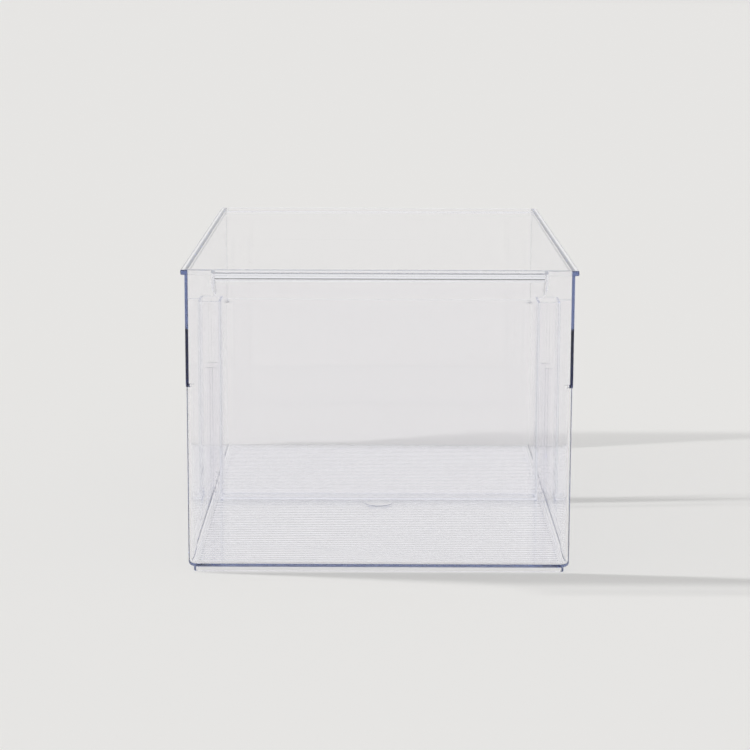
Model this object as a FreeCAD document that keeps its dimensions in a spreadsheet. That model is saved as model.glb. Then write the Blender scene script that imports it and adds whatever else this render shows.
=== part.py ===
import FreeCAD, Part
import os
import Sketcher

# Clear fridge bin with a lift-out divider: two moulded pieces in one parametric document.
# Millimetres, +Z up, the pull handle faces -Y. The origin is the middle of the footprint.

os.makedirs("parts", exist_ok=True)
doc = FreeCAD.newDocument("FridgeBin")

# ---------------------------------------------------------------- driving dimensions
DIMENSIONS = [
    # the open box
    ("overall_length", 320.0, "handle nose to back rim"),
    ("wall_width", 200.0, "outside of the side walls"),
    ("overall_height", 160.0, "table to rim top"),
    ("wall", 1.5, "moulded wall thickness"),
    ("floor_thick", 1.8, "floor plate"),
    ("corner_round", 5.0, "outside of the upright corners, below the nesting ledge"),
    ("ledge_level", 99.0, "corners turn square above this level"),
    ("base_round", 2.5, "outside edge round the base"),
    ("floor_round", 1.5, "inside edge round the floor"),
    # flange round the rim
    ("rim_reach", 2.0, "flange beyond the walls"),
    ("rim_drop", 2.6, "flange thickness"),
    ("edge_round", 0.5, "softened rim edges"),
    # foot ring under the base
    ("foot_drop", 2.6, "ring height, table to underside of floor"),
    ("foot_inset", 2.8, "ring in from the walls"),
    ("foot_wall", 1.4, "ring width"),
    # pull handle: a lip under the front rim, open below
    ("handle_reach", 12.0, "lip beyond the front wall"),
    ("handle_length", 171.4, "lip end to end"),
    ("handle_drop", 13.4, "rim top to lip bottom"),
    ("handle_wall", 1.8, "lip thickness, skirt and ends"),
    ("handle_top", 3.0, "lip thickness, top"),
    ("handle_nose", 1.5, "outside bend of the lip"),
    ("handle_bend", 2.0, "inside bend of the lip"),
    ("handle_corner", 8.0, "rounded lower corners of the lip"),
    # upright rail on each side wall: two slim ribs
    ("rail_offset", 9.0, "rails and divider, back from the origin"),
    ("rail_breadth", 20.0, "rail, front to back"),
    ("rail_depth", 2.9, "rail, in from the wall"),
    ("rail_rib", 1.5, "thickness of each rib of a rail"),
    ("rail_level", 83.0, "rail top"),
    # fine cross ribs on the floor and the moulding disc
    ("rib_pitch", 4.0, "rib spacing"),
    ("rib_breadth", 3.0, "rib width"),
    ("rib_rise", 0.1, "rib height"),
    ("disc_radius", 8.0, "radius of the moulding disc"),
    ("disc_rise", 0.25, "height of the moulding disc"),
    ("disc_offset", 9.0, "disc, forward of the origin"),
    # lift-out divider
    ("divider_top", 122.2, "top edge above the table"),
    ("divider_thick", 2.0, "panel thickness"),
    ("divider_reach", 98.1, "half width at the channel lips"),
    ("divider_web", 91.9, "half width at the channel webs"),
    ("divider_breadth", 23.4, "channels and base flange, front to back"),
    ("channel_wall", 1.3, "channel lips and base flange"),
    ("channel_round", 1.5, "outside corners of the channels"),
    ("lift_gap", 0.4, "divider above the floor ribs"),
]
sizes = doc.addObject("Spreadsheet::Sheet", "sizes")
for row, (alias, number, note) in enumerate(DIMENSIONS, start=1):
    sizes.set(f"A{row}", alias)
    sizes.set(f"B{row}", str(number))
    sizes.set(f"C{row}", note)
    sizes.setAlias(f"B{row}", alias)
workings = doc.addObject("Spreadsheet::Sheet", "workings")
doc.recompute()

# places that several features share, as expressions on the sheet
FRONT_WALL = "(-sizes.overall_length / 2 + sizes.handle_reach)"
BACK_WALL = "(sizes.overall_length / 2 - sizes.rim_reach)"
HALF_WIDTH = "(sizes.wall_width / 2)"
FLOOR_TOP = "(sizes.foot_drop + sizes.floor_thick)"
INNER_LEDGE = "(sizes.ledge_level + sizes.wall)"
RAIL_FRONT = "(sizes.rail_offset - sizes.rail_breadth / 2)"
RAIL_BACK = "(sizes.rail_offset + sizes.rail_breadth / 2)"
NEAR = 0.05


def value(expression):
    """A sheet expression worked out as a number, on the spare sheet."""
    workings.set("A1", "=" + expression)
    workings.recompute()
    return float(workings.get("A1"))


def outline(inset):
    """The box's plan outline (left, right, front, back), drawn in by an inset."""
    return (f"-{HALF_WIDTH} + {inset}", f"{HALF_WIDTH} - {inset}",
            f"{FRONT_WALL} + {inset}", f"{BACK_WALL} - {inset}")


# ---------------------------------------------------------------- sketches and features
def origin_feature(body, role):
    return next(f for f in body.Origin.OriginFeatures if f.Role == role)


def plan_sketch(body, name, level):
    """A sketch on the body's own XY plane, lifted to a level."""
    sketch = body.newObject("Sketcher::SketchObject", name)
    sketch.AttachmentSupport = [(origin_feature(body, "XY_Plane"), "")]
    sketch.MapMode = "FlatFace"
    sketch.setExpression("AttachmentOffset.Base.z", f"({level}) * 1 mm")
    return sketch


def constrain(sketch, name, kind, first, second, expression):
    """A named distance between two sketch points, driven by the sheet."""
    index = sketch.addConstraint(Sketcher.Constraint(kind, *first, *second, value(expression)))
    sketch.renameConstraint(index, name)
    sketch.setExpression(f"Constraints.{name}", f"({expression}) * 1 mm")


def draw_rectangle(sketch, bounds, label=""):
    """Four lines held by their distances from the sketch's axes."""
    left, right, front, back = bounds
    x0, x1, y0, y1 = (value(e) for e in bounds)
    corners = [FreeCAD.Vector(x, y, 0) for x, y in ((x0, y0), (x1, y0), (x1, y1), (x0, y1))]
    first = sketch.GeometryCount
    for k in range(4):
        sketch.addGeometry(Part.LineSegment(corners[k], corners[(k + 1) % 4]), False)
    for k in range(4):
        joined = Sketcher.Constraint("Coincident", first + k, 2, first + (k + 1) % 4, 1)
        sketch.addConstraint(joined)
        sketch.addConstraint(Sketcher.Constraint("Vertical" if k % 2 else "Horizontal", first + k))
    origin = (-1, 1)
    constrain(sketch, f"{label}left", "DistanceX", origin, (first, 1), left)
    constrain(sketch, f"{label}right", "DistanceX", origin, (first, 2), right)
    constrain(sketch, f"{label}front", "DistanceY", origin, (first, 1), front)
    constrain(sketch, f"{label}back", "DistanceY", origin, (first + 2, 1), back)


def settle(feature):
    """Recompute and stop at the first feature that fails."""
    doc.recompute()
    if "Invalid" in feature.State or feature.Shape.isNull():
        raise ValueError(f"{feature.Name} failed: {feature.getStatusString()}")
    return feature


def pad(body, name, sketch, height):
    feature = body.newObject("PartDesign::Pad", name)
    feature.Profile = sketch
    feature.setExpression("Length", f"({height}) * 1 mm")
    return settle(feature)


def pocket(body, name, sketch, height):
    """A pocket that cuts upwards from its sketch."""
    before = body.Tip.Shape.Volume
    feature = body.newObject("PartDesign::Pocket", name)
    feature.Profile = sketch
    feature.Reversed = True
    feature.setExpression("Length", f"({height}) * 1 mm")
    settle(feature)
    if feature.Shape.Volume > before - 1.0:
        raise ValueError(f"{name} cuts nothing")
    return feature


def block(body, name, bounds, level, height, hole=None, make=pad):
    """A straight block, or a pocket, on a plan rectangle (left, right, front, back)."""
    sketch = plan_sketch(body, f"{name}_plan", level)
    draw_rectangle(sketch, bounds)
    if hole:
        draw_rectangle(sketch, hole, "hole_")
    return make(body, name, sketch, height)


class Span:
    """Where an edge runs, from its two ends."""

    def __init__(self, edge):
        ends = [edge.valueAt(edge.FirstParameter), edge.valueAt(edge.LastParameter)]
        self.x0, self.x1 = sorted(p.x for p in ends)
        self.y0, self.y1 = sorted(p.y for p in ends)
        self.z0, self.z1 = sorted(p.z for p in ends)
        self.width = self.x1 - self.x0
        self.depth = self.y1 - self.y0
        self.rise = self.z1 - self.z0

    def upright(self):
        return self.width < NEAR and self.depth < NEAR and self.rise > NEAR

    def at_level(self, level):
        return abs(self.z0 - level) < NEAR and abs(self.z1 - level) < NEAR

    def on_side(self, x):
        return self.width < NEAR and abs(abs(self.x0) - x) < NEAR

    def on_end(self, *places):
        return self.depth < NEAR and min(abs(self.y0 - y) for y in places) < NEAR


def fillet(body, name, radius, wanted):
    """Round the edges of the body's tip whose span is wanted."""
    base = body.Tip
    names = [f"Edge{k}" for k, e in enumerate(base.Shape.Edges, start=1) if wanted(Span(e))]
    if not names:
        raise ValueError(f"{name} finds no edges")
    feature = body.newObject("PartDesign::Fillet", name)
    feature.Base = (base, names)
    feature.setExpression("Radius", f"({radius}) * 1 mm")
    return settle(feature)


def both_sides():
    """Left and right, with a function that puts two distances from the middle in order."""
    yield "left", lambda near, far: (f"-{far}", f"-{near}")
    yield "right", lambda near, far: (near, far)


# ---------------------------------------------------------------- the moulded bin
bin_body = doc.addObject("PartDesign::Body", "bin")
bin_body.Label = "bin"
base_level = value("sizes.foot_drop")
top_level = value("sizes.overall_height")
floor_level = value(FLOOR_TOP)
wall_x = value(HALF_WIDTH)

# foot ring, set in from the walls
block(bin_body, "foot_block", outline("sizes.foot_inset"), "0",
      "sizes.foot_drop + sizes.floor_thick / 2")
fillet(bin_body, "foot_rounds", "sizes.corner_round - sizes.foot_inset", Span.upright)

# lower box: round upright corners, round base edge, hollowed to an even wall
block(bin_body, "lower_box", outline("0"), "sizes.foot_drop", f"{INNER_LEDGE} - sizes.foot_drop")
fillet(bin_body, "corner_rounds", "sizes.corner_round",
       lambda span: span.upright() and span.on_side(wall_x))
block(bin_body, "lower_hollow", outline("sizes.wall"), FLOOR_TOP,
      f"{INNER_LEDGE} - {FLOOR_TOP}", make=pocket)
fillet(bin_body, "inside_rounds", "sizes.corner_round - sizes.wall",
       lambda span: span.upright() and abs(span.z0 - floor_level) < NEAR)
fillet(bin_body, "floor_rounds", "sizes.floor_round", lambda span: span.at_level(floor_level))
base_ends = value(FRONT_WALL), value(BACK_WALL)
fillet(bin_body, "base_rounds", "sizes.base_round",
       lambda span: span.at_level(base_level) and (span.on_side(wall_x) or span.on_end(*base_ends)))
block(bin_body, "foot_hollow", outline("(sizes.foot_inset + sizes.foot_wall)"), "0",
      "sizes.foot_drop", make=pocket)

# upper walls with square corners, which leaves a small nesting ledge at each corner
block(bin_body, "upper_walls", outline("0"), "sizes.ledge_level",
      "sizes.overall_height - sizes.ledge_level", hole=outline("sizes.wall"))

# rim flange
block(bin_body, "rim_flange", outline("(-sizes.rim_reach)"),
      "sizes.overall_height - sizes.rim_drop", "sizes.rim_drop", hole=outline("sizes.wall"))
rim_under = value("sizes.overall_height - sizes.rim_drop")
rim_x = value(f"{HALF_WIDTH} + sizes.rim_reach")
rim_ends = value(f"{FRONT_WALL} - sizes.rim_reach"), value(f"{BACK_WALL} + sizes.rim_reach")
fillet(bin_body, "rim_softening", "sizes.edge_round",
       lambda span: span.z0 > rim_under - NEAR and (span.on_side(rim_x) or span.on_end(*rim_ends)))

# pull handle: a block with rounded nose and corners, hollowed from below
lip_front = f"({FRONT_WALL} - sizes.handle_reach)"
lip_bottom = "(sizes.overall_height - sizes.handle_drop)"
block(bin_body, "handle_block",
      ("-sizes.handle_length / 2", "sizes.handle_length / 2", lip_front, f"{FRONT_WALL} + sizes.wall / 2"),
      lip_bottom, "sizes.handle_drop")
lip_y = value(lip_front)
lip_end = value("sizes.handle_length / 2")
lip_level = value(lip_bottom)
fillet(bin_body, "handle_corners", "sizes.handle_corner",
       lambda span: span.on_side(lip_end) and span.at_level(lip_level))
fillet(bin_body, "handle_nose", "sizes.handle_nose",
       lambda span: span.on_end(lip_y) and span.at_level(top_level))
block(bin_body, "finger_space",
      ("-sizes.handle_length / 2 + sizes.handle_wall", "sizes.handle_length / 2 - sizes.handle_wall",
       f"{lip_front} + sizes.handle_wall", FRONT_WALL),
      lip_bottom, "sizes.handle_drop - sizes.handle_top", make=pocket)
lip_ceiling = value("sizes.overall_height - sizes.handle_top")
lip_inside = value(f"{lip_front} + sizes.handle_wall")
fillet(bin_body, "handle_bend", "sizes.handle_bend",
       lambda span: span.on_end(lip_inside) and span.at_level(lip_ceiling))

# an upright rail on each side wall: two slim ribs, one at each edge of the divider's channel
rail_face = f"({HALF_WIDTH} - sizes.wall - sizes.rail_depth)"
for side, ordered in both_sides():
    for end, bounds in (("front", (RAIL_FRONT, f"{RAIL_FRONT} + sizes.rail_rib")),
                        ("back", (f"{RAIL_BACK} - sizes.rail_rib", RAIL_BACK))):
        block(bin_body, f"rail_{side}_{end}",
              (*ordered(rail_face, f"({HALF_WIDTH} - sizes.wall / 2)"), *bounds),
              f"{FLOOR_TOP} - sizes.floor_thick / 2",
              f"sizes.rail_level - {FLOOR_TOP} + sizes.floor_thick / 2")

# fine cross ribs over the floor
block(bin_body, "floor_rib",
      (f"-{rail_face} + 1", f"{rail_face} - 1",
       f"{FRONT_WALL} + 1.5 * sizes.rib_pitch",
       f"{FRONT_WALL} + 1.5 * sizes.rib_pitch + sizes.rib_breadth"),
      f"{FLOOR_TOP} - sizes.floor_thick / 4", "sizes.floor_thick / 4 + sizes.rib_rise")
rib_count = int(value(f"({BACK_WALL} - {FRONT_WALL}) / sizes.rib_pitch") - 2)
ribs = bin_body.newObject("PartDesign::LinearPattern", "floor_ribs")
ribs.Originals = [doc.getObject("floor_rib")]
ribs.Direction = (origin_feature(bin_body, "Y_Axis"), [""])
ribs.Occurrences = rib_count
ribs.setExpression("Length", f"sizes.rib_pitch * {rib_count - 1} * 1 mm")
settle(ribs)
bin_body.Tip = ribs

# moulding disc in the middle of the floor
disc_plan = plan_sketch(bin_body, "disc_plan", f"{FLOOR_TOP} - sizes.disc_rise / 2")
disc_centre = FreeCAD.Vector(0, -value("sizes.disc_offset"), 0)
disc_plan.addGeometry(Part.Circle(disc_centre, FreeCAD.Vector(0, 0, 1), value("sizes.disc_radius")), False)
disc_plan.addConstraint(Sketcher.Constraint("PointOnObject", 0, 3, -2))
constrain(disc_plan, "forward", "DistanceY", (0, 3), (-1, 1), "sizes.disc_offset")
disc_plan.addConstraint(Sketcher.Constraint("Radius", 0, value("sizes.disc_radius")))
disc_plan.renameConstraint(disc_plan.ConstraintCount - 1, "round")
disc_plan.setExpression("Constraints.round", "sizes.disc_radius * 1 mm")
pad(bin_body, "moulding_disc", disc_plan, "sizes.disc_rise * 1.5")

# ---------------------------------------------------------------- the lift-out divider
divider = doc.addObject("PartDesign::Body", "divider")
divider.Label = "divider"
divider_foot = f"({FLOOR_TOP} + sizes.rib_rise + sizes.lift_gap)"
divider_rise = f"(sizes.divider_top - {divider_foot})"
divider_front = "(sizes.rail_offset - sizes.divider_breadth / 2)"
divider_back = "(sizes.rail_offset + sizes.divider_breadth / 2)"
web_outside = "(sizes.divider_web + sizes.channel_wall)"

block(divider, "panel",
      ("-sizes.divider_web - sizes.channel_wall / 2", "sizes.divider_web + sizes.channel_wall / 2",
       "sizes.rail_offset - sizes.divider_thick / 2", "sizes.rail_offset + sizes.divider_thick / 2"),
      divider_foot, divider_rise)
block(divider, "base_flange",
      ("-sizes.divider_web - sizes.channel_wall / 2", "sizes.divider_web + sizes.channel_wall / 2",
       divider_front, divider_back),
      divider_foot, "sizes.channel_wall")

# a channel at each end, straddling the rail
for side, ordered in both_sides():
    block(divider, f"channel_{side}",
          (*ordered("sizes.divider_web", "sizes.divider_reach"), divider_front, divider_back),
          divider_foot, divider_rise)
    block(divider, f"slot_{side}",
          (*ordered(web_outside, "(sizes.divider_reach + 1)"),
           f"{divider_front} + sizes.channel_wall", f"{divider_back} - sizes.channel_wall"),
          divider_foot, divider_rise, make=pocket)
web_x = value("sizes.divider_web")
divider_ends = value(divider_front), value(divider_back)
fillet(divider, "channel_rounds", "sizes.channel_round",
       lambda span: span.upright() and span.on_side(web_x) and span.on_end(*divider_ends))

# ---------------------------------------------------------------- checks and export
doc.removeObject("workings")
doc.recompute()
for item in doc.Objects:
    if "Invalid" in item.State or "Error" in item.State:
        raise ValueError(f"{item.Name} failed: {item.State}")
for body in (bin_body, divider):
    shape = body.Shape
    if shape.isNull() or not shape.isValid() or len(shape.Solids) != 1:
        raise ValueError(f"{body.Label} is not one sound solid")
    print(body.Label, round(shape.Volume), "mm3", shape.BoundBox)
    shape.exportStep(f"parts/{body.Label}.step")
common = bin_body.Shape.common(divider.Shape).Volume
if common > 0.001:
    raise ValueError(f"bin and divider overlap by {common:.3f} mm3")
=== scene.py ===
import math

import bmesh
import bpy
from mathutils import Matrix, Vector


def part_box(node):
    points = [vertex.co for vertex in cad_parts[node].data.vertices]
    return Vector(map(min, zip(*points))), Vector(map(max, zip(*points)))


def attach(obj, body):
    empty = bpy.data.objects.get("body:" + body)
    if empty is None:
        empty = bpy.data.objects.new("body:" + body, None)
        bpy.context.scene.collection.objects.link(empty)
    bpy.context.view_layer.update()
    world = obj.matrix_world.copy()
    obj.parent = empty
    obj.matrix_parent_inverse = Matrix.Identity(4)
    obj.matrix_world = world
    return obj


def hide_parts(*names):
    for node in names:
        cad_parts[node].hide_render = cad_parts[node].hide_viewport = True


# Clear fridge bin with a lift-out divider. Metres, the pull lip faces -Y.
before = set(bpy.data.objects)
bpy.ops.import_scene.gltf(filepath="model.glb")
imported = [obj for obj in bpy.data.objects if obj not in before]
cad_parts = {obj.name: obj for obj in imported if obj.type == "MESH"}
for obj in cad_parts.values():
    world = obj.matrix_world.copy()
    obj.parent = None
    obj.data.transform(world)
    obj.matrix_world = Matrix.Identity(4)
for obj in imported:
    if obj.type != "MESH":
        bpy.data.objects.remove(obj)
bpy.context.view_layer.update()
mm = 0.001
scene = bpy.context.scene


def boxInMm(name):
    return [[value / mm for value in corner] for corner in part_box(name)]


binLow, binHigh = boxInMm("bin")
dividerLow, dividerHigh = boxInMm("divider")


# camera, at the height of someone looking down at a table
cameraView = {
    "place": (-0.0023, -1.2684, 0.3079),
    "lens": 106.0,
    "sensor": 36.0,
    "tiltDown": 10.24,  # degrees
    "roll": 0.18,
    "farthest": 200,
}


def placeCamera(view):
    data = bpy.data.cameras.new("camera")
    data.sensor_width = view["sensor"]
    data.lens = view["lens"]
    data.clip_end = view["farthest"]
    camera = bpy.data.objects.new("camera", data)
    scene.collection.objects.link(camera)
    tilt = Matrix.Rotation(math.radians(90 - view["tiltDown"]), 4, "X")
    roll = Matrix.Rotation(math.radians(view["roll"]), 4, "Z")
    camera.matrix_world = Matrix.Translation(view["place"]) @ tilt @ roll
    scene.camera = camera


placeCamera(cameraView)
print("camera placed")


# clear moulded plastic: bends light, and goes blue where light runs a long way inside it
clearPlastic = {
    "index": 1.57,
    "roughness": (0.0, 0.02),
    "tint": (0.0, 0.15, 0.54, 1.0),  # share of light kept, against the density below
    "density": 5.6,  # per metre
    "faceTint": (0.998, 0.994, 1.0, 1.0),
    "faceReflection": 0.05,  # lost by lamp light that crosses one face squarely
    "ambientPass": 0.985,  # kept by soft light that crosses one face
    "waveSize": 45.0,  # flow waves per metre, about 22 mm long
    "waveHeight": 0.000008,
    "hazeSize": 900.0,
    "hazeHeight": 0.0000004,
    "hazeRange": (0.3, 0.75),  # haze levels that give the two roughness values
    "glancePower": 5.0,
}


def node(tree, kind, place, **values):
    made = tree.nodes.new(kind)
    made.location = place
    for key, value in values.items():
        setattr(made, key, value)
    return made


def mathNode(tree, operation, place, first, second):
    made = node(tree, "ShaderNodeMath", place, operation=operation)
    for index, value in enumerate((first, second)):
        if isinstance(value, (int, float)):
            made.inputs[index].default_value = value
        else:
            tree.links.new(value, made.inputs[index])
    return made.outputs[0]


def makeClearPlastic(name, plan, seed):
    material = bpy.data.materials.new(name)
    material.use_nodes = True
    tree = material.node_tree
    tree.nodes.clear()
    links = tree.links
    output = node(tree, "ShaderNodeOutputMaterial", (900, 0))
    coords = node(tree, "ShaderNodeTexCoord", (-1200, 0))
    shift = node(tree, "ShaderNodeMapping", (-1000, 0))
    shift.inputs["Location"].default_value = (seed, 0.37 * seed, -0.61 * seed)
    links.new(coords.outputs["Object"], shift.inputs["Vector"])

    # slow flow waves and a fine haze of scuffs
    waves = node(tree, "ShaderNodeTexNoise", (-780, 100))
    waves.inputs["Scale"].default_value = plan["waveSize"]
    waves.inputs["Detail"].default_value = 1.0
    haze = node(tree, "ShaderNodeTexNoise", (-780, -200))
    haze.inputs["Scale"].default_value = plan["hazeSize"]
    haze.inputs["Detail"].default_value = 2.0
    for noise in (waves, haze):
        links.new(shift.outputs["Vector"], noise.inputs["Vector"])
    waveBump = node(tree, "ShaderNodeBump", (-500, 150))
    waveBump.inputs["Strength"].default_value = 1.0
    waveBump.inputs["Distance"].default_value = plan["waveHeight"]
    links.new(waves.outputs["Fac"], waveBump.inputs["Height"])
    hazeBump = node(tree, "ShaderNodeBump", (-300, 50))
    hazeBump.inputs["Strength"].default_value = 1.0
    hazeBump.inputs["Distance"].default_value = plan["hazeHeight"]
    links.new(haze.outputs["Fac"], hazeBump.inputs["Height"])
    links.new(waveBump.outputs["Normal"], hazeBump.inputs["Normal"])
    gloss = node(tree, "ShaderNodeMapRange", (-300, -200))
    gloss.inputs["From Min"].default_value = plan["hazeRange"][0]
    gloss.inputs["From Max"].default_value = plan["hazeRange"][1]
    gloss.inputs["To Min"].default_value = plan["roughness"][0]
    gloss.inputs["To Max"].default_value = plan["roughness"][1]
    links.new(haze.outputs["Fac"], gloss.inputs["Value"])

    body = node(tree, "ShaderNodeBsdfPrincipled", (0, 200))
    body.inputs["Base Color"].default_value = plan["faceTint"]
    body.inputs["Transmission Weight"].default_value = 1.0
    body.inputs["IOR"].default_value = plan["index"]
    links.new(gloss.outputs["Result"], body.inputs["Roughness"])
    links.new(hazeBump.outputs["Normal"], body.inputs["Normal"])

    # lamp light and soft light pass straight through; lamp light less so at a glancing angle
    facing = node(tree, "ShaderNodeLayerWeight", (-500, -500))
    glance = mathNode(tree, "POWER", (-300, -500), facing.outputs["Facing"],
                      plan["glancePower"])
    squarely = plan["faceReflection"]
    scaled = mathNode(tree, "MULTIPLY", (-120, -500), glance, 1.0 - squarely)
    lost = mathNode(tree, "ADD", (40, -500), scaled, squarely)
    lampPass = mathNode(tree, "SUBTRACT", (200, -500), 1.0, lost)
    rays = node(tree, "ShaderNodeLightPath", (0, -200))
    passed = node(tree, "ShaderNodeMix", (380, -450))
    passed.inputs["A"].default_value = plan["ambientPass"]
    links.new(rays.outputs["Is Shadow Ray"], passed.inputs["Factor"])
    links.new(lampPass, passed.inputs["B"])
    through = node(tree, "ShaderNodeBsdfTransparent", (540, -300))
    links.new(passed.outputs[0], through.inputs["Color"])
    straight = mathNode(tree, "MAXIMUM", (300, -150), rays.outputs["Is Shadow Ray"],
                        rays.outputs["Is Diffuse Ray"])
    either = node(tree, "ShaderNodeMixShader", (700, 50))
    links.new(straight, either.inputs[0])
    links.new(body.outputs[0], either.inputs[1])
    links.new(through.outputs[0], either.inputs[2])
    links.new(either.outputs[0], output.inputs["Surface"])

    depth = node(tree, "ShaderNodeVolumeAbsorption", (700, -200))
    depth.inputs["Color"].default_value = plan["tint"]
    depth.inputs["Density"].default_value = plan["density"]
    links.new(depth.outputs[0], output.inputs["Volume"])
    return material


binPlastic = makeClearPlastic("clear_bin_plastic", clearPlastic, 0.0)
dividerPlastic = makeClearPlastic("clear_divider_plastic", clearPlastic, 3.1)
print("materials made")


# mesh tools
meshRules = {
    "weld": 0.002,  # millimetres
    "sharpAngle": 35,  # degrees
    "flatWeight": 100,
}


def addObject(name, mesh):
    made = bpy.data.objects.new(name, mesh)
    scene.collection.objects.link(made)
    return made


def meshObject(name, work):
    bmesh.ops.recalc_face_normals(work, faces=work.faces)
    mesh = bpy.data.meshes.new(name)
    work.to_mesh(mesh)
    work.free()
    return addObject(name, mesh)


def roundedPlan(x0, x1, y0, y1, radius, steps):
    # points round a rectangle with round corners, anticlockwise
    corners = (
        (x1 - radius, y0 + radius, -90),
        (x1 - radius, y1 - radius, 0),
        (x0 + radius, y1 - radius, 90),
        (x0 + radius, y0 + radius, 180),
    )
    points = []
    for cx, cy, start in corners:
        for k in range(steps + 1):
            angle = math.radians(start + 90 * k / steps)
            points.append((cx + radius * math.cos(angle), cy + radius * math.sin(angle)))
    return points


def stackRings(name, rings):
    # joins rings of equal point counts into one closed skin, in millimetres
    work = bmesh.new()
    rows = [[work.verts.new(Vector(p) * mm) for p in ring] for ring in rings]
    count = len(rows[0])
    for low, high in zip(rows, rows[1:]):
        for k in range(count):
            after = (k + 1) % count
            work.faces.new((low[k], low[after], high[after], high[k]))
    work.faces.new(list(reversed(rows[0])))
    work.faces.new(rows[-1])
    return meshObject(name, work)


def prism(name, outline, axis, start, end):
    # a flat outline pushed along X, Y or Z, in millimetres
    def lifted(a, b, along):
        return {"X": (along, a, b), "Y": (a, along, b), "Z": (a, b, along)}[axis]

    return stackRings(name, [[lifted(a, b, along) for a, b in outline] for along in (start, end)])


def combine(target, tool, operation):
    change = target.modifiers.new(operation.lower(), "BOOLEAN")
    change.operation = operation
    change.solver = "MANIFOLD"
    change.object = tool
    bakeModifiers(target)
    bpy.data.objects.remove(tool)
    return target


def bakeModifiers(target):
    depsgraph = bpy.context.evaluated_depsgraph_get()
    baked = bpy.data.meshes.new_from_object(target.evaluated_get(depsgraph), depsgraph=depsgraph)
    target.modifiers.clear()
    old = target.data
    target.data = baked
    baked.name = target.name
    bpy.data.meshes.remove(old)


def finishSkin(target, material, name):
    # one material, smooth rounds, flat flats
    work = bmesh.new()
    work.from_mesh(target.data)
    weld = meshRules["weld"] * mm
    bmesh.ops.remove_doubles(work, verts=work.verts, dist=weld)
    bmesh.ops.dissolve_degenerate(work, edges=work.edges, dist=weld)
    loose = [edge for edge in work.edges if not edge.is_manifold]
    work.to_mesh(target.data)
    work.free()
    target.data.materials.clear()
    target.data.materials.append(material)
    for face in target.data.polygons:
        face.material_index = 0
        face.use_smooth = True
    target.data.set_sharp_from_angle(angle=math.radians(meshRules["sharpAngle"]))
    weighted = target.modifiers.new("flats", "WEIGHTED_NORMAL")
    weighted.weight = meshRules["flatWeight"]
    weighted.keep_sharp = True
    bakeModifiers(target)
    target.name = name
    print(name, len(target.data.polygons), "faces", len(loose), "open edges")


# the bin's shell: one skin from under the floor, round the foot, over the rim and down inside
rimReach = 2.0
lipReach = 12.0
binShell = {
    "halfWidth": binHigh[0] - rimReach,
    "front": binLow[1] + lipReach,
    "back": binHigh[1] - rimReach,
    "wall": 1.5,
    "top": binHigh[2],
    "cornerRound": 5.0,
    "squareRound": 0.5,
    "ledge": 99.0,
    "ledgeSlope": 0.4,
    "rimReach": rimReach,
    "rimDrop": 2.6,
    "rimRound": 0.5,
    "rimCorner": 0.9,
    "rimSteps": 3,
    "bevel": 0.3,
    "footDrop": 2.6,
    "footInset": 2.8,
    "footWall": 1.4,
    "footSoft": 0.25,
    "footCorners": (1.0, 1.2, 2.0, 2.2),  # from the inside of the ring to its outside
    "floorThick": 1.8,
    "baseRound": 2.5,
    "floorRound": 1.5,
    "cornerSteps": 8,
    "roundSteps": 6,
}


def makeShell(plan):
    rings = []

    def ring(inset, radius, level):
        edge = plan["halfWidth"] - inset
        flat = roundedPlan(-edge, edge, plan["front"] + inset, plan["back"] - inset,
                           radius, plan["cornerSteps"])
        rings.append([(x, y, level) for x, y in flat])

    drop = plan["footDrop"]
    footIn = plan["footInset"] + plan["footWall"]
    footSoft = plan["footSoft"]
    inside, insideBelow, outsideBelow, outside = plan["footCorners"]
    ring(footIn, inside, drop)
    ring(footIn, inside, footSoft)
    ring(footIn - footSoft, insideBelow, 0.0)
    ring(plan["footInset"] + footSoft, outsideBelow, 0.0)
    ring(plan["footInset"], outside, footSoft)
    ring(plan["footInset"], outside, drop)
    steps = plan["roundSteps"]
    for k in range(steps + 1):
        angle = math.pi / 2 * k / steps
        inset = plan["baseRound"] * (1 - math.sin(angle))
        ring(inset, plan["cornerRound"] - inset, drop + plan["baseRound"] * (1 - math.cos(angle)))
    ring(0.0, plan["cornerRound"], plan["ledge"] - plan["ledgeSlope"])
    ring(0.0, plan["squareRound"], plan["ledge"])
    under = plan["top"] - plan["rimDrop"]
    bevel = plan["bevel"]
    ring(0.0, plan["squareRound"], under - bevel)
    ring(-bevel, plan["squareRound"] + 0.2, under)
    reach = plan["rimReach"]
    soft = plan["rimRound"]
    corner = plan["rimCorner"]
    rimSteps = plan["rimSteps"]
    for k in range(rimSteps + 1):
        angle = math.pi / 2 * k / rimSteps
        ring(-reach + soft * (1 - math.sin(angle)), corner + soft * math.sin(angle),
             under + soft * (1 - math.cos(angle)))
    for k in range(rimSteps + 1):
        angle = math.pi / 2 * k / rimSteps
        ring(-reach + soft * (1 - math.cos(angle)), corner + soft * math.cos(angle),
             plan["top"] - soft * (1 - math.sin(angle)))
    wall = plan["wall"]
    innerSquare = plan["squareRound"] - 0.1
    ring(wall - bevel, plan["squareRound"], plan["top"])
    ring(wall, innerSquare, plan["top"] - bevel)
    ring(wall, innerSquare, plan["ledge"] + wall)
    inner = plan["cornerRound"] - wall
    ring(wall, inner, plan["ledge"] + wall - plan["ledgeSlope"])
    floorTop = drop + plan["floorThick"]
    bend = plan["floorRound"]
    for k in range(steps + 1):
        angle = math.pi / 2 * k / steps
        inset = wall + bend * (1 - math.cos(angle))
        ring(inset, plan["cornerRound"] - inset, floorTop + bend * (1 - math.sin(angle)))
    return stackRings("binShell", rings)


binBody = makeShell(binShell)
print("shell made")


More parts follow.
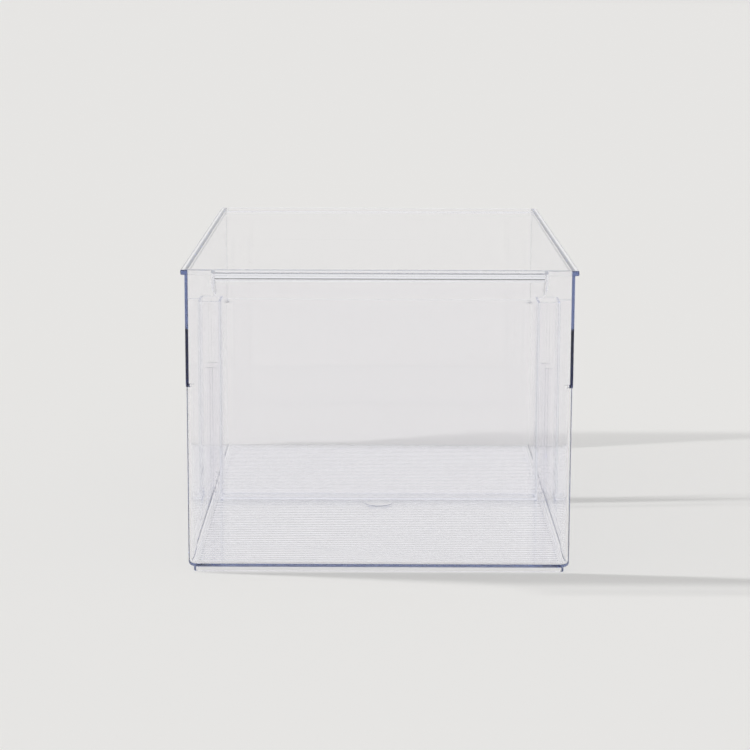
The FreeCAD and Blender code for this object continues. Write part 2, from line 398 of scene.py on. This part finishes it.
# pull lip: a folded front edge, closed at its ends, open below
pullLip = {
    "halfLength": 85.7,
    "front": binLow[1],
    "drop": 13.4,
    "wall": 1.8,
    "topWall": 3.0,
    "nose": 1.5,
    "innerRound": 2.0,
    "endWide": 6.0,
    "endTall": 9.0,
    "planRound": 2.0,
    "planSteps": 5,
    "overlap": 0.7,  # how far it reaches into the front wall
    "steps": 8,
}


def lipFace(plan, top, low, inset):
    # the lip seen from in front: square above, round lower corners
    half = plan["halfLength"] - inset
    wide = plan["endWide"] - inset
    tall = plan["endTall"] - inset
    points = [(half, top), (-half, top)]
    for middle, start in ((wide - half, 180), (half - wide, 270)):
        for k in range(plan["steps"] + 1):
            angle = math.radians(start + 90 * k / plan["steps"])
            points.append((middle + wide * math.cos(angle),
                           low + tall + tall * math.sin(angle)))
    return points


def lipSection(plan, top, low, rear, front, nose):
    # the lip cut across: flat top, round nose, straight skirt
    points = [(rear, low), (rear, top)]
    for k in range(plan["steps"] + 1):
        angle = math.radians(90 + 90 * k / plan["steps"])
        points.append((front + nose + nose * math.cos(angle),
                       top - nose + nose * math.sin(angle)))
    points.append((front, low))
    return points


def makeLip(plan, shell):
    top = shell["top"]
    low = top - plan["drop"]
    rear = shell["front"] + plan["overlap"]
    half = plan["halfLength"]
    lip = prism("lip", lipFace(plan, top, low, 0.0), "Y", plan["front"] - 1, rear)
    profile = lipSection(plan, top, low, rear, plan["front"], plan["nose"])
    section = prism("lipSection", profile, "X", -half - 1, half + 1)
    combine(lip, section, "INTERSECT")
    corners = roundedPlan(-half, half, plan["front"], shell["front"] + 10,
                          plan["planRound"], plan["planSteps"])
    combine(lip, prism("lipPlan", corners, "Z", low - 1, top + 1), "INTERSECT")
    wall = plan["wall"]
    ceiling = top - plan["topWall"]
    hollow = prism("hollow", lipFace(plan, ceiling, low - 2, wall), "Y",
                   plan["front"], shell["front"])
    profile = lipSection(plan, ceiling, low - 3, shell["front"], plan["front"] + wall,
                         plan["innerRound"])
    inside = prism("inside", profile, "X", -half, half)
    combine(hollow, inside, "INTERSECT")
    combine(lip, hollow, "DIFFERENCE")
    return lip


combine(binBody, makeLip(pullLip, binShell), "UNION")
print("lip made")


# an upright rail on each side wall, of two slim ribs, which holds the divider
rails = {
    "offset": 9.0,
    "breadth": 20.0,
    "depth": 2.9,
    "rib": 1.5,
    "ribRound": 0.15,
    "ribSteps": 2,
    "level": 83.0,
    "overlap": 0.9,  # into the wall and into the floor
}


def addRails(target, plan, shell):
    root = shell["halfWidth"] - shell["wall"] + plan["overlap"]
    inner = shell["halfWidth"] - shell["wall"] - plan["depth"]
    floorTop = shell["footDrop"] + shell["floorThick"]
    front = plan["offset"] - plan["breadth"] / 2
    back = plan["offset"] + plan["breadth"] / 2
    for side in (-1, 1):
        left, right = sorted((side * root, side * inner))
        for near, far in ((front, front + plan["rib"]), (back - plan["rib"], back)):
            outline = roundedPlan(left, right, near, far, plan["ribRound"], plan["ribSteps"])
            rib = prism("rail", outline, "Z", floorTop - plan["overlap"], plan["level"])
            combine(target, rib, "UNION")


addRails(binBody, rails, binShell)
print("rails made")


# fine ribs across the floor, from a Geometry Nodes tree
floorRibs = {
    "pitch": 4.0,
    "width": 3.0,
    "rise": 0.06,
    "sink": 0.5,
    "endGap": 1.0,  # short of the rails
    "firstRib": 1.5,  # pitches behind the front wall
    "lastGap": 2,  # pitches left bare, front and back together
    "edgeShare": 0.3,  # of the width, beyond which a rib's top edges fall
    "edgeFall": 0.9,  # of the rise
    "discRadius": 8.0,
    "discRise": 0.25,
    "discOffset": 9.0,
    "discSides": 64,
    "discSink": 0.5,
    "discBevel": (0.15, 0.1),  # in from the edge, down from the top
}


def ribTree(plan, material):
    tree = bpy.data.node_groups.new("floorRibs", "GeometryNodeTree")
    face = tree.interface
    face.new_socket("Geometry", in_out="OUTPUT", socket_type="NodeSocketGeometry")
    sizes = ("Pitch", "Length", "Width", "Rise", "Sink", "Start", "Level")
    for label in sizes:
        face.new_socket(label, in_out="INPUT", socket_type="NodeSocketFloat")
    face.new_socket("Count", in_out="INPUT", socket_type="NodeSocketInt")
    links = tree.links
    given = node(tree, "NodeGroupInput", (-1000, 0))
    result = node(tree, "NodeGroupOutput", (900, 0))
    # one rib: a block that is drawn in along its top edges
    size = node(tree, "ShaderNodeCombineXYZ", (-800, 200))
    tall = mathNode(tree, "ADD", (-900, 300), given.outputs["Rise"], given.outputs["Sink"])
    links.new(given.outputs["Length"], size.inputs["X"])
    links.new(given.outputs["Width"], size.inputs["Y"])
    links.new(tall, size.inputs["Z"])
    block = node(tree, "GeometryNodeMeshCube", (-600, 200))
    links.new(size.outputs[0], block.inputs["Size"])
    block.inputs["Vertices Y"].default_value = 4
    place = node(tree, "GeometryNodeInputPosition", (-600, -100))
    parts = node(tree, "ShaderNodeSeparateXYZ", (-450, -100))
    links.new(place.outputs[0], parts.inputs[0])
    above = mathNode(tree, "GREATER_THAN", (-300, -50), parts.outputs["Z"], 0.0)
    aside = mathNode(tree, "ABSOLUTE", (-300, -200), parts.outputs["Y"], 0.0)
    edge = mathNode(tree, "MULTIPLY", (-300, -350), given.outputs["Width"],
                    plan["edgeShare"])
    atEdge = mathNode(tree, "GREATER_THAN", (-150, -200), aside, edge)
    both = mathNode(tree, "MULTIPLY", (0, -100), above, atEdge)
    fall = mathNode(tree, "MULTIPLY", (0, -300), given.outputs["Rise"], -plan["edgeFall"])
    lowered = mathNode(tree, "MULTIPLY", (150, -200), both, fall)
    move = node(tree, "ShaderNodeCombineXYZ", (300, -200))
    links.new(lowered, move.inputs["Z"])
    shaped = node(tree, "GeometryNodeSetPosition", (150, 200))
    links.new(block.outputs["Mesh"], shaped.inputs["Geometry"])
    links.new(move.outputs[0], shaped.inputs["Offset"])
    # the row of ribs
    first = node(tree, "ShaderNodeCombineXYZ", (-800, -500))
    links.new(given.outputs["Start"], first.inputs["Y"])
    links.new(given.outputs["Level"], first.inputs["Z"])
    stride = node(tree, "ShaderNodeCombineXYZ", (-800, -700))
    links.new(given.outputs["Pitch"], stride.inputs["Y"])
    row = node(tree, "GeometryNodeMeshLine", (-600, -500))
    links.new(given.outputs["Count"], row.inputs["Count"])
    links.new(first.outputs[0], row.inputs["Start Location"])
    links.new(stride.outputs[0], row.inputs["Offset"])
    spread = node(tree, "GeometryNodeInstanceOnPoints", (350, 100))
    links.new(row.outputs["Mesh"], spread.inputs["Points"])
    links.new(shaped.outputs["Geometry"], spread.inputs["Instance"])
    real = node(tree, "GeometryNodeRealizeInstances", (520, 100))
    links.new(spread.outputs[0], real.inputs[0])
    painted = node(tree, "GeometryNodeSetMaterial", (700, 100))
    painted.inputs["Material"].default_value = material
    links.new(real.outputs[0], painted.inputs["Geometry"])
    links.new(painted.outputs[0], result.inputs[0])
    return tree


def makeRibs(plan, shell, railPlan, material):
    tree = ribTree(plan, material)
    ribs = addObject("ribs", bpy.data.meshes.new("ribs"))
    change = ribs.modifiers.new("ribs", "NODES")
    change.node_group = tree
    length = shell["back"] - shell["front"]
    inner = shell["halfWidth"] - shell["wall"] - railPlan["depth"] - plan["endGap"]
    floorTop = shell["footDrop"] + shell["floorThick"]
    wanted = {
        "Pitch": plan["pitch"] * mm,
        "Length": 2 * inner * mm,
        "Width": plan["width"] * mm,
        "Rise": plan["rise"] * mm,
        "Sink": plan["sink"] * mm,
        "Start": (shell["front"] + plan["firstRib"] * plan["pitch"] + plan["width"] / 2) * mm,
        "Level": (floorTop + (plan["rise"] - plan["sink"]) / 2) * mm,
        "Count": int(length / plan["pitch"]) - plan["lastGap"],
    }
    for socket in tree.interface.items_tree:
        if socket.item_type == "SOCKET" and socket.in_out == "INPUT":
            change[socket.identifier] = wanted[socket.name]
    bakeModifiers(ribs)
    print("ribs", wanted["Count"], len(ribs.data.polygons))
    return ribs


combine(binBody, makeRibs(floorRibs, binShell, rails, binPlastic), "UNION")


def makeDisc(plan, shell):
    # the mark left by the moulding gate
    floorTop = shell["footDrop"] + shell["floorThick"]
    top = floorTop + plan["discRise"]
    inward, downward = plan["discBevel"]
    turns = [2 * math.pi * k / plan["discSides"] for k in range(plan["discSides"])]
    rings = []
    for inset, level in ((0, floorTop - plan["discSink"]), (0, top - downward), (inward, top)):
        radius = plan["discRadius"] - inset
        rings.append([(radius * math.cos(turn), radius * math.sin(turn) - plan["discOffset"],
                       level) for turn in turns])
    return stackRings("disc", rings)


combine(binBody, makeDisc(floorRibs, binShell), "UNION")
finishSkin(binBody, binPlastic, "clear_bin")
print("floor made")


# lift-out divider: a panel with a channel at each end that straddles the rail
dividerPlan = {
    "top": dividerHigh[2],
    "foot": dividerLow[2],
    "thick": 2.0,
    "web": 91.9,
    "reach": dividerHigh[0],
    "breadth": dividerHigh[1] - dividerLow[1],
    "channelWall": 1.3,
    "channelRound": 0.4,
    "slotRound": 0.2,
    "edgeRound": 0.3,
    "steps": 5,
    "edgeSteps": 2,
}


def makeDivider(plan, railPlan):
    middle = railPlan["offset"]
    thin = plan["thick"] / 2
    front = middle - plan["breadth"] / 2
    back = middle + plan["breadth"] / 2
    wall = plan["channelWall"]
    panelEdge = plan["web"] + wall / 2
    foot = plan["foot"]
    top = plan["top"]
    edgeRound = plan["edgeRound"]
    steps = plan["steps"]
    edgeSteps = plan["edgeSteps"]
    panel = roundedPlan(-panelEdge, panelEdge, middle - thin, middle + thin,
                        plan["slotRound"], edgeSteps)
    made = prism("panel", panel, "Z", foot, top)
    flange = roundedPlan(-panelEdge, panelEdge, front, back, edgeRound, edgeSteps)
    combine(made, prism("flange", flange, "Z", foot, foot + wall), "UNION")
    for side in (-1, 1):
        # a tube past the reach, hollowed by the slot, then cut off at the reach
        left, right = sorted((side * plan["web"], side * (plan["reach"] + 4)))
        outline = roundedPlan(left, right, front, back, plan["channelRound"], steps)
        channel = prism("channel", outline, "Z", foot, top)
        left, right = sorted((side * (plan["web"] + wall), side * (plan["reach"] + 6)))
        slot = roundedPlan(left, right, front + wall, back - wall, plan["slotRound"], steps)
        combine(channel, prism("slot", slot, "Z", foot - 1, top + 1), "DIFFERENCE")
        left, right = sorted((side * plan["reach"], side * (plan["reach"] + 9)))
        tail = roundedPlan(left, right, front - 5, back + 5, edgeRound, edgeSteps)
        combine(channel, prism("tail", tail, "Z", foot - 1, top + 1), "DIFFERENCE")
        combine(made, channel, "UNION")
    return made


divider = makeDivider(dividerPlan, rails)
finishSkin(divider, dividerPlastic, "clear_divider")
print("divider made")

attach(binBody, "bin")
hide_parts("bin")
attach(divider, "divider")
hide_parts("divider")


# table top and light
tableTop = {
    "halfSize": 40.0,
    "level": -0.00005,
    "color": (0.880, 0.871, 0.855, 1.0),
    "roughness": 0.85,
}


def makeTable(plan):
    work = bmesh.new()
    half = plan["halfSize"]
    corners = [work.verts.new((x, y, plan["level"]))
               for x, y in ((-half, -half), (half, -half), (half, half), (-half, half))]
    work.faces.new(corners)
    table = meshObject("table", work)
    material = bpy.data.materials.new("pale_table")
    material.use_nodes = True
    tree = material.node_tree
    paint = tree.nodes["Principled BSDF"]
    paint.inputs["Base Color"].default_value = plan["color"]
    paint.inputs["Roughness"].default_value = plan["roughness"]
    paint.inputs["Specular IOR Level"].default_value = 0.0
    table.data.materials.append(material)
    return table


table = makeTable(tableTop)

lighting = {
    "skyOverhead": 0.88,
    "darkBand": (0.48, 0.55, 0.95, 0.99),  # heights where the wall above the backdrop is dark
    "darkBandStart": (0.05, 0.3),  # how far behind the bin the dark wall begins
    "darkBandShade": 0.02,
    "skyBehindCamera": 0.80,
    "skyFade": (-0.75, 0.1),  # from the camera's side to full brightness
    "skyLean": 1.2,
    "lampPlace": (-0.73, -0.065, 0.75),
    "lampRadius": 0.03,
    "lampPower": 10.3,
    "lampShallowest": 0.03,
}

lightPaths = {
    "plastic": 160,  # light crosses many faces before it leaves the plastic
    "diffuse": 3,
    "transparent": 48,
}


def makeSky(plan):
    # soft light all round, darker low down on the camera's side
    sky = bpy.data.worlds.new("studio")
    sky.use_nodes = True
    scene.world = sky
    tree = sky.node_tree
    tree.nodes.clear()
    output = node(tree, "ShaderNodeOutputWorld", (600, 0))
    glow = node(tree, "ShaderNodeBackground", (400, 0))
    glow.inputs["Strength"].default_value = plan["skyOverhead"]
    coords = node(tree, "ShaderNodeTexCoord", (-400, 0))
    parts = node(tree, "ShaderNodeSeparateXYZ", (-200, 0))
    tree.links.new(coords.outputs["Generated"], parts.inputs[0])
    lean = mathNode(tree, "MULTIPLY", (-50, -100), parts.outputs["Z"], plan["skyLean"])
    toward = mathNode(tree, "ADD", (50, 0), parts.outputs["Y"], lean)
    shade = node(tree, "ShaderNodeMapRange", (200, 0), interpolation_type="SMOOTHSTEP")
    shade.inputs["From Min"].default_value = plan["skyFade"][0]
    shade.inputs["From Max"].default_value = plan["skyFade"][1]
    shade.inputs["To Min"].default_value = plan["skyBehindCamera"]
    shade.inputs["To Max"].default_value = 1.0
    tree.links.new(toward, shade.inputs["Value"])
    # the unlit wall above the backdrop
    bandLow, bandDim, bandDimEnd, bandHigh = plan["darkBand"]
    rise = node(tree, "ShaderNodeMapRange", (-50, -350), interpolation_type="SMOOTHSTEP")
    rise.inputs["From Min"].default_value = bandLow
    rise.inputs["From Max"].default_value = bandDim
    fall = node(tree, "ShaderNodeMapRange", (-50, -600), interpolation_type="SMOOTHSTEP")
    fall.inputs["From Min"].default_value = bandHigh
    fall.inputs["From Max"].default_value = bandDimEnd
    far = node(tree, "ShaderNodeMapRange", (-50, -850), interpolation_type="SMOOTHSTEP")
    far.inputs["From Min"].default_value = plan["darkBandStart"][0]
    far.inputs["From Max"].default_value = plan["darkBandStart"][1]
    tree.links.new(parts.outputs["Z"], rise.inputs["Value"])
    tree.links.new(parts.outputs["Z"], fall.inputs["Value"])
    tree.links.new(parts.outputs["Y"], far.inputs["Value"])
    level = mathNode(tree, "MULTIPLY", (150, -450), rise.outputs["Result"],
                     fall.outputs["Result"])
    band = mathNode(tree, "MULTIPLY", (250, -550), level, far.outputs["Result"])
    dimmed = mathNode(tree, "MULTIPLY", (300, -300), band, 1.0 - plan["darkBandShade"])
    kept = mathNode(tree, "SUBTRACT", (320, -150), 1.0, dimmed)
    total = mathNode(tree, "MULTIPLY", (350, -50), shade.outputs["Result"], kept)
    tree.links.new(total, glow.inputs["Color"])
    tree.links.new(glow.outputs[0], output.inputs[0])
    sky.cycles.sampling_method = "NONE"


def makeLamp(plan):
    data = bpy.data.lights.new("lamp", "POINT")
    data.energy = plan["lampPower"]
    data.shadow_soft_size = plan["lampRadius"]
    data.use_nodes = True
    tree = data.node_tree
    # stronger towards the sides, so that the whole table is lit evenly
    around = node(tree, "ShaderNodeTexCoord", (-1000, 0))
    parts = node(tree, "ShaderNodeSeparateXYZ", (-800, 0))
    tree.links.new(around.outputs["Normal"], parts.inputs[0])
    down = mathNode(tree, "ABSOLUTE", (-650, 0), parts.outputs["Z"], 0.0)
    steep = mathNode(tree, "MAXIMUM", (-500, 0), down, plan["lampShallowest"])
    spread = mathNode(tree, "DIVIDE", (-400, 0), 1.0, steep)
    even = node(tree, "ShaderNodeLightFalloff", (-200, 0))
    tree.links.new(spread, even.inputs["Strength"])
    tree.links.new(even.outputs["Constant"], tree.nodes["Emission"].inputs["Strength"])
    lamp = bpy.data.objects.new("lamp", data)
    lamp.location = plan["lampPlace"]
    scene.collection.objects.link(lamp)


makeSky(lighting)
makeLamp(lighting)
scene.view_settings.view_transform = "Standard"
scene.view_settings.look = "None"
scene.cycles.max_bounces = lightPaths["plastic"]
scene.cycles.transmission_bounces = lightPaths["plastic"]
scene.cycles.glossy_bounces = lightPaths["plastic"]
scene.cycles.diffuse_bounces = lightPaths["diffuse"]
scene.cycles.transparent_max_bounces = lightPaths["transparent"]
scene.cycles.caustics_refractive = True
scene.cycles.caustics_reflective = False
print("light set")
